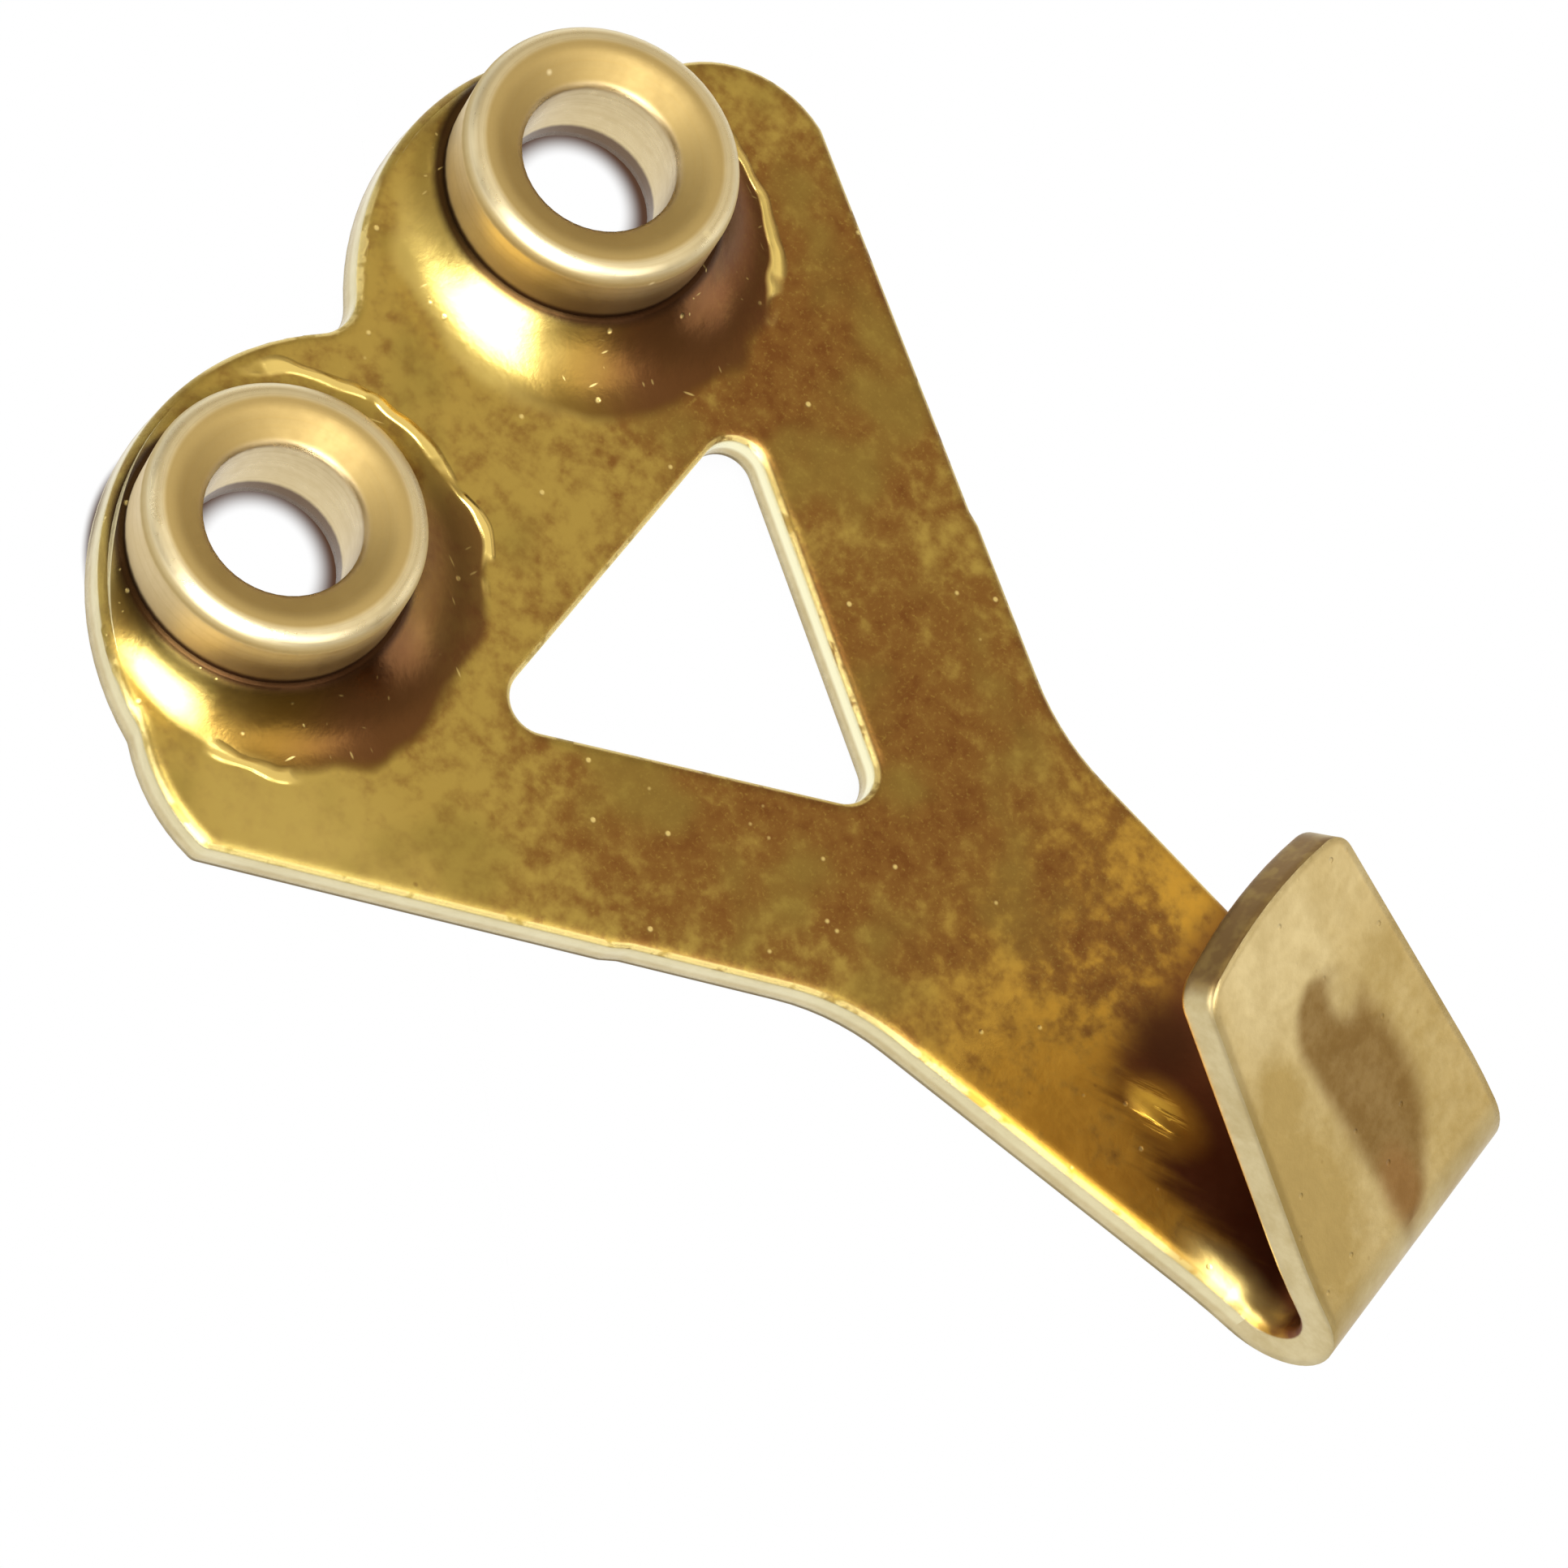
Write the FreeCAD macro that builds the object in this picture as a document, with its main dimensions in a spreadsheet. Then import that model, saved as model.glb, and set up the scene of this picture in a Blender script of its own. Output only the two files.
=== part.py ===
"""Two-nail picture hook: a stamped brass sheet plate with two staked nail bushings.

Frame, in millimetres: X across the hook, +Y into the wall, +Z up. The plate's back lies on Y = 0
and the origin is midway between the two nail bushings.
"""
import FreeCAD, Part
import math
import os

import Sketcher

SIZES = {
    "overall_height": 38.55,
    # Sheet
    "sheet_thickness": 1.1,
    "die_roll": 0.22,
    "cut_over": 0.6,
    # Nail places
    "nail_offset": 7.1,
    "nail_lean": 7.0,
    # Heart-shaped head: a lobe round each nail, an ear beyond each lobe
    "lobe_inset": 1.4,
    "lobe_drop": 3.35,
    "lobe_radius": 7.6,
    "notch_radius": 1.2,
    "ear_angle_left": 20.0,
    "ear_angle_right": 28.0,
    "ear_radius_left": 5.0,
    "ear_radius_right": 3.4,
    "ear_round": 0.4,
    "ear_reach": 0.8,
    "ear_drop": 0.55,
    # Sloping sides, cut in two strokes that miss each other by a hair
    "side_angle": 30.8,
    "stroke_share": 0.63,
    "stroke_shift": 0.1,
    "stroke_step": 0.4,
    "stroke_round": 0.5,
    "waist_flare": 0.95,
    "waist_radius": 7.0,
    # Window
    "window_top_drop": 7.1,
    "window_half_width": 6.05,
    "window_height": 9.7,
    "window_corner_radius": 0.9,
    # Folded hook
    "fold_half_width": 4.15,
    "fold_inner_radius": 1.0,
    "ease_radius": 24.0,
    "lip_angle": 36.0,
    "lip_length": 10.95,
    "lip_tip_half_width": 3.2,
    "lip_crown": 0.45,
    "lip_corner_radius": 0.9,
    # Pressed bosses
    "boss_inset": 0.45,
    "boss_drop": 0.9,
    "boss_base_radius": 5.45,
    "boss_flare_share": 0.45,
    "boss_flare_rise": 0.24,
    "seat_rise": 0.86,
    "seat_drop": 0.1,
    "seat_radius": 3.85,
    "seat_thickness": 0.75,
    "boss_hollow_drop": 0.35,
    "boss_hollow_inset": 0.6,
    "seat_hollow_inset": 0.55,
    # Nail bushings
    "bore_radius": 2.1,
    "shank_radius": 2.65,
    "shank_clearance": 0.03,
    "collar_radius": 3.72,
    "collar_height": 2.23,
    "shoulder_round": 0.4,
    "mouth_radius": 2.9,
    "mouth_depth": 0.52,
    "mouth_round": 0.3,
    "stake_radius": 2.95,
    "stake_height": 0.3,
}

doc = FreeCAD.newDocument("picture_hook")
sheet = doc.addObject("Spreadsheet::Sheet", "sizes")
for row, (alias, size) in enumerate(SIZES.items(), start=1):
    sheet.set(f"A{row}", alias)
    sheet.set(f"B{row}", str(size))
    sheet.setAlias(f"B{row}", alias)
doc.recompute()


def cell(alias):
    """Number held by one named cell."""
    return float(sheet.get(alias))


def number(formula):
    """Value of a formula in which {alias} stands for a cell."""
    return float(sheet.evalExpression(formula.format(**{alias: alias for alias in SIZES})))


def bind(obj, prop, formula):
    """Ties a property to a formula in which {alias} stands for a cell."""
    names = {alias: f"sizes.{alias}" for alias in SIZES}
    obj.setExpression(prop, formula.format(**names))


def point(x, z):
    return FreeCAD.Vector(x, z, 0)


def spot(x_formula, z_formula):
    """Point in a sketch at two formulas."""
    return point(number(x_formula), number(z_formula))


def about_x():
    """Turn about X by a small angle, which a formula then sets."""
    return FreeCAD.Rotation(FreeCAD.Vector(1, 0, 0), 1)


def new_sketch(body, name, plane):
    """Sketch on one of the body's own origin planes."""
    sketch = body.newObject("Sketcher::SketchObject", name)
    support = [f for f in body.Origin.OriginFeatures if f.Role == plane][0]
    sketch.AttachmentSupport = (support, [""])
    sketch.MapMode = "FlatFace"
    return sketch


START, END, CENTRE = 1, 2, 3


def add_chain(sketch, curves, smooth=()):
    """Adds curves that follow each other round a closed outline and joins their ends.

    A curve whose number is in smooth runs on into the next one without a corner.
    """
    ids = [sketch.addGeometry(curve, False) for curve in curves]
    pairs = [(a, b) for a in (START, END) for b in (START, END)]
    for order, (here, there) in enumerate(zip(ids, ids[1:] + ids[:1])):
        gaps = [(sketch.getPoint(here, a) - sketch.getPoint(there, b)).Length for a, b in pairs]
        a, b = pairs[gaps.index(min(gaps))]
        joint = "Tangent" if order in smooth else "Coincident"
        sketch.addConstraint(Sketcher.Constraint(joint, here, a, there, b))
    return ids


def dimension(sketch, kind, formula, *where):
    """Adds one driving dimension, measured from the origin unless a radius, and ties it to the sheet."""
    from_origin = () if kind == "Radius" else (-1, 1)
    index = sketch.addConstraint(Sketcher.Constraint(kind, *from_origin, *where, number(formula)))
    bind(sketch, f"Constraints[{index}]", formula)


def pin(sketch, curve, x_formula, z_formula):
    """Ties the end of a curve that lies nearest to two formulas to them."""
    goal = spot(x_formula, z_formula)
    end = min((START, END), key=lambda e: (sketch.getPoint(curve, e) - goal).Length)
    dimension(sketch, "DistanceX", x_formula, curve, end)
    dimension(sketch, "DistanceY", z_formula, curve, end)


def arc_by_radius(start, end, radius, bulge_side):
    """Short arc between two points, bulging to the given side (+1 left of the way, -1 right)."""
    chord = end - start
    half = chord.Length / 2
    sagitta = radius - math.sqrt(radius ** 2 - half ** 2)
    across = FreeCAD.Vector(-chord.y, chord.x, 0).normalize() * bulge_side
    return Part.ArcOfCircle(start, (start + end) / 2 + across * sagitta, end)


def touch_from(outside, centre, radius, side):
    """Point where the tangent from an outside point touches a circle, on the given side."""
    away = outside - centre
    turn = math.acos(radius / away.Length) * side
    angle = math.atan2(away.y, away.x) + turn
    return centre + point(math.cos(angle), math.sin(angle)) * radius


FOLD_Z = "({lobe_radius} - {lobe_drop} + {fold_inner_radius} + {sheet_thickness} - {overall_height})"
LOBE_X = "({nail_offset} - {lobe_inset})"
CORNER_X = "(" + LOBE_X + " + {lobe_radius} + {ear_reach})"
CORNER_DROP = "({lobe_drop} + {ear_drop})"
WAIST_X = "({fold_half_width} + {waist_flare})"
SLOPE_HEIGHT = "((" + CORNER_X + " - " + WAIST_X + ") / tan({side_angle}))"


def on_slope(sign, below, shift):
    """Formulas of a spot on a sloping side, at a drop below the head's corner."""
    return (f"{sign}({CORNER_X} - {below} * tan({{side_angle}})) + {shift}", f"-({CORNER_DROP} + {below})")


def hand_of(side):
    return "right" if side > 0 else "left"


def side_spots(side):
    """Formulas of the corners of one side of the flat outline, from the fold up to the ear's kink."""
    sign = "" if side > 0 else "-"
    step = "({stroke_share} * " + SLOPE_HEIGHT + ")"
    turn = "{ear_angle_" + hand_of(side) + "}"
    return {
        "fold": (sign + "{fold_half_width} + {stroke_shift}", FOLD_Z),
        "waist": on_slope(sign, SLOPE_HEIGHT, "{stroke_shift}"),
        "step_low": on_slope(sign, f"({step} + {{stroke_step}})", "{stroke_shift}"),
        "step_high": on_slope(sign, step, "0"),
        "corner": on_slope(sign, "0", "0"),
        "kink": (f"{sign}({LOBE_X} + {{lobe_radius}} * cos({turn}))",
                 f"{{lobe_radius}} * sin({turn}) - {{lobe_drop}}"),
    }


NOTCH = ("0", "sqrt({lobe_radius}^2 - " + LOBE_X + "^2) - {lobe_drop}")


def side_curves(side):
    """Curves of one side from the fold to the notch: ease arc, strip, slope, step, slope, ear, lobe."""
    spots = {name: spot(*formulas) for name, formulas in side_spots(side).items()}
    ease = cell("ease_radius")
    ease_end = touch_from(spots["waist"], spots["fold"] + point(side * ease, 0), ease, side)
    lobe = Part.Circle(spot(LOBE_X, "-{lobe_drop}"), FreeCAD.Vector(0, 0, 1), cell("lobe_radius"))
    lobe.Center = point(side * lobe.Center.x, lobe.Center.y)
    turns = [lobe.parameter(end) for end in (spots["kink"], spot(*NOTCH))]
    ear_radius = cell("ear_radius_" + hand_of(side))
    return [
        arc_by_radius(spots["fold"], ease_end, ease, side),
        Part.LineSegment(ease_end, spots["waist"]),
        Part.LineSegment(spots["waist"], spots["step_low"]),
        Part.LineSegment(spots["step_low"], spots["step_high"]),
        Part.LineSegment(spots["step_high"], spots["corner"]),
        arc_by_radius(spots["corner"], spots["kink"], ear_radius, -side),
        Part.ArcOfCircle(lobe, *sorted(turns)),
    ]


def tie_side(sketch, ids, side):
    """Ties one side of the outline to the sheet."""
    ease, _, low, step, high, ear, lobe = ids
    sign = "" if side > 0 else "-"
    spots = side_spots(side)
    for curve, name in ((ease, "fold"), (low, "waist"), (step, "step_low"), (high, "step_high"),
                        (high, "corner")):
        pin(sketch, curve, *spots[name])
    dimension(sketch, "Radius", "{ease_radius}", ease)
    dimension(sketch, "DistanceY", FOLD_Z, ease, CENTRE)
    dimension(sketch, "Radius", "{ear_radius_" + hand_of(side) + "}", ear)
    dimension(sketch, "DistanceX", sign + LOBE_X, lobe, CENTRE)
    dimension(sketch, "DistanceY", "-{lobe_drop}", lobe, CENTRE)
    dimension(sketch, "Radius", "{lobe_radius}", lobe)
    kink_end = START if side > 0 else END
    dimension(sketch, "DistanceY", spots["kink"][1], lobe, kink_end)


def draw_outline(body):
    """Flat outline of the head and strip, down to the fold."""
    sketch = new_sketch(body, "flat_outline", "XZ_Plane")
    right = side_curves(1)
    left = side_curves(-1)
    fold_left, fold_right = [spot(*side_spots(side)["fold"]) for side in (-1, 1)]
    sides = right + left[::-1]
    left_strip = len(sides) - 2
    ids = add_chain(sketch, sides + [Part.LineSegment(fold_left, fold_right)], smooth=(0, left_strip))
    tie_side(sketch, ids[:len(right)], 1)
    tie_side(sketch, ids[len(right):len(sides)][::-1], -1)
    return sketch


def add_pad(body, name, sketch, formula, symmetric=False):
    pad = body.newObject("PartDesign::Pad", name)
    pad.Profile = sketch
    if symmetric:
        pad.SideType = "Symmetric"
    bind(pad, "Length", formula)
    doc.recompute()
    return pad


def round_edges(body, name, formula, chosen):
    """Fillet on the edges of the body's tip that the test picks out."""
    base = body.Tip
    edges = [f"Edge{i}" for i, edge in enumerate(base.Shape.Edges, start=1) if chosen(edge)]
    if not edges:
        raise RuntimeError(f"{name} found no edge")
    fillet = body.newObject("PartDesign::Fillet", name)
    fillet.Base = (base, edges)
    bind(fillet, "Radius", formula)
    doc.recompute()
    return fillet


NEAR = 1e-4
VOLUME_SLACK = 0.01
EDGE_SAMPLES = (0, 0.3, 0.7, 1)


def upright_at(*spots):
    """Test for straight edges along Y that stand at one of the given X, Z spots."""
    def chosen(edge):
        ends = [point(v.X, v.Z) for v in edge.Vertexes]
        if len(ends) != 2 or (ends[0] - ends[1]).Length > NEAR:
            return False
        return any((ends[0] - goal).Length < NEAR for goal in spots)
    return chosen


def round_outline(body):
    """Rounds the upright corners of the flat outline."""
    def corners(*names):
        return [spot(*side_spots(side)[name]) for side in (1, -1) for name in names]
    round_edges(body, "notch_round", "{notch_radius}", upright_at(spot(*NOTCH)))
    round_edges(body, "ear_rounds", "{ear_round}", upright_at(*corners("kink", "corner")))
    round_edges(body, "stroke_rounds", "{stroke_round}", upright_at(*corners("step_low", "step_high")))
    round_edges(body, "waist_rounds", "{waist_radius}", upright_at(*corners("waist")))


def draw_window(body):
    """Triangular window, point down."""
    sketch = new_sketch(body, "window_outline", "XZ_Plane")
    top, apex = "-{window_top_drop}", "-({window_top_drop} + {window_height})"
    formulas = [("-{window_half_width}", top), ("{window_half_width}", top), ("0", apex)]
    spots = [spot(*pair) for pair in formulas]
    ids = add_chain(sketch, [Part.LineSegment(a, b) for a, b in zip(spots, spots[1:] + spots[:1])])
    for curve, pair in zip(ids, formulas):
        pin(sketch, curve, *pair)
    before = body.Tip.Shape.Volume
    pocket = body.newObject("PartDesign::Pocket", "window")
    pocket.Profile = sketch
    pocket.SideType = "Symmetric"
    bind(pocket, "Length", "2 * ({sheet_thickness} + {cut_over})")
    doc.recompute()
    removed = before - pocket.Shape.Volume
    wanted = number("{window_half_width} * {window_height} * {sheet_thickness}")
    if abs(removed - wanted) > VOLUME_SLACK * wanted:
        raise RuntimeError("the window does not go through the sheet")
    round_edges(body, "window_rounds", "{window_corner_radius}", upright_at(*spots))


def draw_fold(body):
    """Bend at the strip's foot: a ring sector swept across the strip."""
    sketch = new_sketch(body, "fold_section", "YZ_Plane")
    bind(sketch, "AttachmentOffset.Base.z", "{stroke_shift}")
    inner = cell("fold_inner_radius")
    outer = inner + cell("sheet_thickness")
    centre = point(-outer, number(FOLD_Z))
    turn = math.radians(180 - cell("lip_angle"))
    normal = FreeCAD.Vector(0, 0, 1)
    far = point(math.cos(turn), -math.sin(turn))
    near = point(1, 0)
    ids = add_chain(sketch, [
        Part.ArcOfCircle(Part.Circle(centre, normal, outer), -turn, 0),
        Part.LineSegment(centre + near * outer, centre + near * inner),
        Part.ArcOfCircle(Part.Circle(centre, normal, inner), -turn, 0),
        Part.LineSegment(centre + far * inner, centre + far * outer),
    ])
    outer_formula = "({fold_inner_radius} + {sheet_thickness})"
    sketch.addConstraint(Sketcher.Constraint("Coincident", ids[0], CENTRE, ids[2], CENTRE))
    dimension(sketch, "DistanceX", "-" + outer_formula, ids[0], CENTRE)
    dimension(sketch, "DistanceY", FOLD_Z, ids[0], CENTRE)
    dimension(sketch, "Radius", outer_formula, ids[0])
    dimension(sketch, "Radius", "{fold_inner_radius}", ids[2])
    dimension(sketch, "DistanceY", FOLD_Z, ids[0], END)
    dimension(sketch, "DistanceY", FOLD_Z, ids[2], END)
    drop_formula = FOLD_Z + " - %s * sin({lip_angle})"
    dimension(sketch, "DistanceY", drop_formula % outer_formula, ids[0], START)
    dimension(sketch, "DistanceY", drop_formula % "{fold_inner_radius}", ids[2], START)
    add_pad(body, "fold", sketch, "2 * {fold_half_width}", symmetric=True)


def draw_lip(body):
    """Straight lip beyond the fold, narrowing to a crowned tip."""
    sketch = new_sketch(body, "lip_outline", "XZ_Plane")
    sketch.AttachmentOffset.Rotation = about_x()
    bind(sketch, "AttachmentOffset.Base.x", "{stroke_shift}")
    bind(sketch, "AttachmentOffset.Base.y", FOLD_Z + " - {fold_inner_radius} * sin({lip_angle})")
    bind(sketch, "AttachmentOffset.Base.z",
         "{sheet_thickness} + {fold_inner_radius} + {fold_inner_radius} * cos({lip_angle})")
    bind(sketch, "AttachmentOffset.Rotation.Angle", "{lip_angle} * 1 deg")
    half, tip = cell("fold_half_width"), cell("lip_tip_half_width")
    shoulder = cell("lip_length") - cell("lip_crown")
    ease = cell("ease_radius")
    curves = []
    for side in (1, -1):
        corner = point(side * tip, shoulder)
        ease_end = touch_from(corner, point(side * (half - ease), 0), ease, -side)
        curves.append([arc_by_radius(point(side * half, 0), ease_end, ease, -side),
                       Part.LineSegment(ease_end, corner)])
    crown = Part.ArcOfCircle(point(tip, shoulder), point(0, cell("lip_length")), point(-tip, shoulder))
    foot = Part.LineSegment(point(-half, 0), point(half, 0))
    ids = add_chain(sketch, curves[0] + [crown] + curves[1][::-1] + [foot], smooth=(0, 3))
    for side, arc, line in ((1, ids[0], ids[1]), (-1, ids[4], ids[3])):
        sign = "" if side > 0 else "-"
        pin(sketch, arc, sign + "{fold_half_width}", "0")
        pin(sketch, line, sign + "{lip_tip_half_width}", "{lip_length} - {lip_crown}")
        dimension(sketch, "Radius", "{ease_radius}", arc)
        dimension(sketch, "DistanceY", "0", arc, CENTRE)
    dimension(sketch, "Radius", "({lip_tip_half_width}^2 + {lip_crown}^2) / (2 * {lip_crown})", ids[2])
    add_pad(body, "lip", sketch, "{sheet_thickness}")


def lip_frame():
    """Start of the lip on the fold's centre line, the way along the lip and the way out of its face."""
    turn = math.radians(cell("lip_angle"))
    centre = FreeCAD.Vector(cell("stroke_shift"), -cell("sheet_thickness") - cell("fold_inner_radius"),
                            number(FOLD_Z))
    along = FreeCAD.Vector(0, -math.sin(turn), math.cos(turn))
    outward = FreeCAD.Vector(0, -math.cos(turn), -math.sin(turn))
    return centre, along, outward


def round_lip(body):
    """Rounds the two corners of the lip's tip."""
    centre, along, _ = lip_frame()
    shoulder = cell("lip_length") - cell("lip_crown")
    half = cell("lip_tip_half_width")

    def chosen(edge):
        ends = [v.Point - centre for v in edge.Vertexes]
        if len(ends) != 2:
            return False
        level = all(abs(p.dot(along) - shoulder) < NEAR for p in ends)
        on_side = all(abs(abs(p.x) - half) < NEAR for p in ends)
        return level and on_side and abs(ends[0].x - ends[1].x) < NEAR
    round_edges(body, "lip_corner_rounds", "{lip_corner_radius}", chosen)


def roll_edges(body):
    """Rounds every edge that the punch entered: front of the plate, inside of the fold and lip."""
    centre, along, outward = lip_frame()
    front = -cell("sheet_thickness")
    inner = cell("fold_inner_radius")
    half = cell("fold_half_width")

    def chosen(edge):
        first, last = edge.ParameterRange
        spots = [edge.valueAt(first + (last - first) * share) for share in EDGE_SAMPLES]
        across = max(p.x for p in spots) - min(p.x for p in spots)
        from_fold = [p - centre for p in spots]
        in_fold = across < NEAR and all(abs(math.hypot(p.y, p.z) - inner) < NEAR for p in from_fold)
        on_front = all(abs(p.y - front) < NEAR for p in spots)
        on_lip = all(abs(p.dot(outward) - inner) < NEAR for p in from_fold)
        fold_start = all(abs(p.z) < NEAR for p in from_fold)
        fold_end = all(abs(p.dot(along)) < NEAR for p in from_fold)
        crease = across > 2 * half - NEAR and (fold_start or fold_end)
        return (on_front or on_lip or in_fold) and not crease
    round_edges(body, "die_roll", "{die_roll}", chosen)


def make_blank():
    """Sheet blank with its window, fold and lip, before the bosses are pressed."""
    body = doc.addObject("PartDesign::Body", "blank")
    add_pad(body, "flat", draw_outline(body), "{sheet_thickness}")
    round_outline(body)
    draw_window(body)
    draw_fold(body)
    draw_lip(body)
    round_lip(body)
    roll_edges(body)
    return body


def place(obj, x, y, z, tilt):
    """Ties a placement to formulas: a spot, and a turn about X in degrees."""
    obj.Placement.Rotation = about_x()
    for axis, formula in zip("xyz", (x, y, z)):
        bind(obj, f"Placement.Base.{axis}", formula)
    bind(obj, "Placement.Rotation.Angle", f"({tilt}) * 1 deg")


def make_ring(name, radius, centre, tilt):
    """Circle that one end of a boss is lofted from."""
    ring = doc.addObject("Part::Circle", name)
    bind(ring, "Radius", radius)
    place(ring, *centre, tilt)
    return ring


def make_loft(name, rings, straight):
    """Solid through rings, with straight or flowing sides."""
    loft = doc.addObject("Part::Loft", name)
    loft.Sections = rings
    loft.Solid = True
    loft.Ruled = straight
    return loft


BOSS_X = "({nail_offset} - {boss_inset})"
SEAT_TILT = "90 - {nail_lean}"
FLAT_TILT = "90"


def seat_spot(sign, depth):
    """Formulas of a spot on a bushing's axis, at a depth behind its seat."""
    return (sign + "{nail_offset}",
            f"-({{sheet_thickness}} + {{seat_rise}}) + ({depth}) * cos({{nail_lean}})",
            f"-{{seat_drop}} - ({depth}) * sin({{nail_lean}})")


def make_boss(hand, sign):
    """Outer form of one pressed boss, kept inside its lobe's edge."""
    base_spot = (sign + BOSS_X, "-{sheet_thickness}", "-{boss_drop}")
    base = make_ring(f"boss_base_{hand}", "{boss_base_radius}", base_spot, FLAT_TILT)
    flare_spot = (sign + "({nail_offset} - {boss_inset} * (1 - {boss_flare_share}))",
                  "-({sheet_thickness} + {seat_rise} * {boss_flare_rise})",
                  "-({boss_drop} + ({seat_drop} - {boss_drop}) * {boss_flare_share})")
    flare_radius = "{boss_base_radius} + ({seat_radius} - {boss_base_radius}) * {boss_flare_share}"
    flare_tilt = FLAT_TILT + " - {nail_lean} * {boss_flare_rise}"
    flare = make_ring(f"boss_flare_{hand}", flare_radius, flare_spot, flare_tilt)
    seat = make_ring(f"boss_seat_{hand}", "{seat_radius}", seat_spot(sign, "0"), SEAT_TILT)
    form = make_loft(f"boss_form_{hand}", [base, flare, seat], False)
    lobe = doc.addObject("Part::Cylinder", f"boss_limit_{hand}")
    bind(lobe, "Radius", "{lobe_radius} - {die_roll}")
    bind(lobe, "Height", "{sheet_thickness} + {seat_rise} + {seat_radius}")
    place(lobe, sign + LOBE_X, "0", "-{lobe_drop}", FLAT_TILT)
    boss = doc.addObject("Part::Common", f"boss_{hand}")
    boss.Base, boss.Tool = form, lobe
    return boss


def make_hollow(hand, sign):
    """Hollow that the press leaves behind one boss, with the bushing's hole through its seat."""
    base_spot = (sign + BOSS_X, "0", "-({boss_drop} + {boss_hollow_drop})")
    base_radius = "{boss_base_radius} - {boss_hollow_inset}"
    base = make_ring(f"hollow_base_{hand}", base_radius, base_spot, FLAT_TILT)
    seat = make_ring(f"hollow_seat_{hand}", "{seat_radius} - {seat_hollow_inset}",
                     seat_spot(sign, "{seat_thickness}"), SEAT_TILT)
    form = make_loft(f"hollow_form_{hand}", [base, seat], True)
    hole = doc.addObject("Part::Cylinder", f"bushing_hole_{hand}")
    bind(hole, "Radius", "{shank_radius} + {shank_clearance}")
    bind(hole, "Height", "{seat_thickness} + 2 * {cut_over}")
    place(hole, *seat_spot(sign, "{seat_thickness} + {cut_over}"), SEAT_TILT)
    return [form, hole]


HANDS = (("left", "-"), ("right", ""))


def make_plate():
    """Whole plate: blank with both bosses pressed up and their hollows and holes cut."""
    pressed = doc.addObject("Part::MultiFuse", "pressed")
    pressed.Shapes = [make_blank()] + [make_boss(hand, sign) for hand, sign in HANDS]
    cuts = doc.addObject("Part::MultiFuse", "hollows")
    cuts.Shapes = [cut for hand, sign in HANDS for cut in make_hollow(hand, sign)]
    plate = doc.addObject("Part::Cut", "plate")
    plate.Base, plate.Tool = pressed, cuts
    plate.Label = "hook_plate"
    return plate


def bushing_profile():
    """Half section of a bushing: corner points as radius and height above the seat, with formulas."""
    return [
        ("{bore_radius}", "-({seat_thickness} + {stake_height})"),
        ("{shank_radius}", "-({seat_thickness} + {stake_height})"),
        ("{stake_radius}", "-({seat_thickness} + {stake_height} / 2)"),
        ("{stake_radius}", "-{seat_thickness}"),
        ("{shank_radius}", "-{seat_thickness}"),
        ("{shank_radius}", "0"),
        ("{collar_radius}", "0"),
        ("{collar_radius}", "{collar_height}"),
        ("{mouth_radius}", "{collar_height}"),
        ("{bore_radius}", "{collar_height} - {mouth_depth}"),
    ]


def make_bushing(hand, sign):
    """Turned bushing: collar with a rounded shoulder and mouth, shank through the sheet and staked end."""
    body = doc.addObject("PartDesign::Body", f"bushing_{hand}")
    sketch = new_sketch(body, f"bushing_section_{hand}", "XY_Plane")
    formulas = bushing_profile()
    spots = [spot(*pair) for pair in formulas]
    ids = add_chain(sketch, [Part.LineSegment(a, b) for a, b in zip(spots, spots[1:] + spots[:1])])
    for curve, pair in zip(ids, formulas):
        pin(sketch, curve, *pair)
    turned = body.newObject("PartDesign::Revolution", f"turned_{hand}")
    turned.Profile = sketch
    turned.ReferenceAxis = (sketch, ["V_Axis"])
    turned.Angle = 360
    doc.recompute()
    round_rim(body, hand)
    body.Label = f"nail_bushing_{hand}"
    place(body, *seat_spot(sign, "0"), "180 - {nail_lean}")
    return body


def round_rim(body, hand):
    """Rounds the collar's shoulder and the edge of its mouth."""
    def ring_of(radius):
        def chosen(edge):
            curve = edge.Curve
            return (isinstance(curve, Part.Circle) and abs(curve.Radius - radius) < NEAR
                    and abs(curve.Center.y - cell("collar_height")) < NEAR)
        return chosen
    round_edges(body, f"shoulder_{hand}", "{shoulder_round}", ring_of(cell("collar_radius")))
    round_edges(body, f"mouth_{hand}", "{mouth_round}", ring_of(cell("mouth_radius")))


def check_document(parts):
    """Stops if any object failed or any sub-part is not a valid solid."""
    for obj in doc.Objects:
        if "Invalid" in obj.State or "Error" in obj.State:
            raise RuntimeError(f"{obj.Label} failed: {obj.State}")
    for part in parts:
        shape = part.Shape
        if shape.isNull() or not shape.isValid() or len(shape.Solids) != 1:
            raise RuntimeError(f"{part.Label} is not one valid solid")


plate = make_plate()
bushings = [make_bushing(hand, sign) for hand, sign in HANDS]
doc.recompute()
check_document([plate] + bushings)

os.makedirs("parts", exist_ok=True)
for part in [plate] + bushings:
    part.Shape.exportStep(f"parts/{part.Label}.step")
    box = part.Shape.BoundBox
    print(f"{part.Label}: volume {part.Shape.Volume:.2f}, faces {len(part.Shape.Faces)}")
    print(f"  x {box.XMin:.2f} to {box.XMax:.2f}")
    print(f"  y {box.YMin:.2f} to {box.YMax:.2f}")
    print(f"  z {box.ZMin:.2f} to {box.ZMax:.2f}")
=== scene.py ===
# %% [markdown]
# # A picture hook in stamped brass
#
# The hook is a plate cut and folded from thin brass sheet, with a turned bushing staked into each of its
# two pressed bosses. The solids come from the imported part, so this lesson is about finish and light: how
# old, handled brass gets its colour, and how a shiny thing is lit so that its shape can be read.

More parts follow.
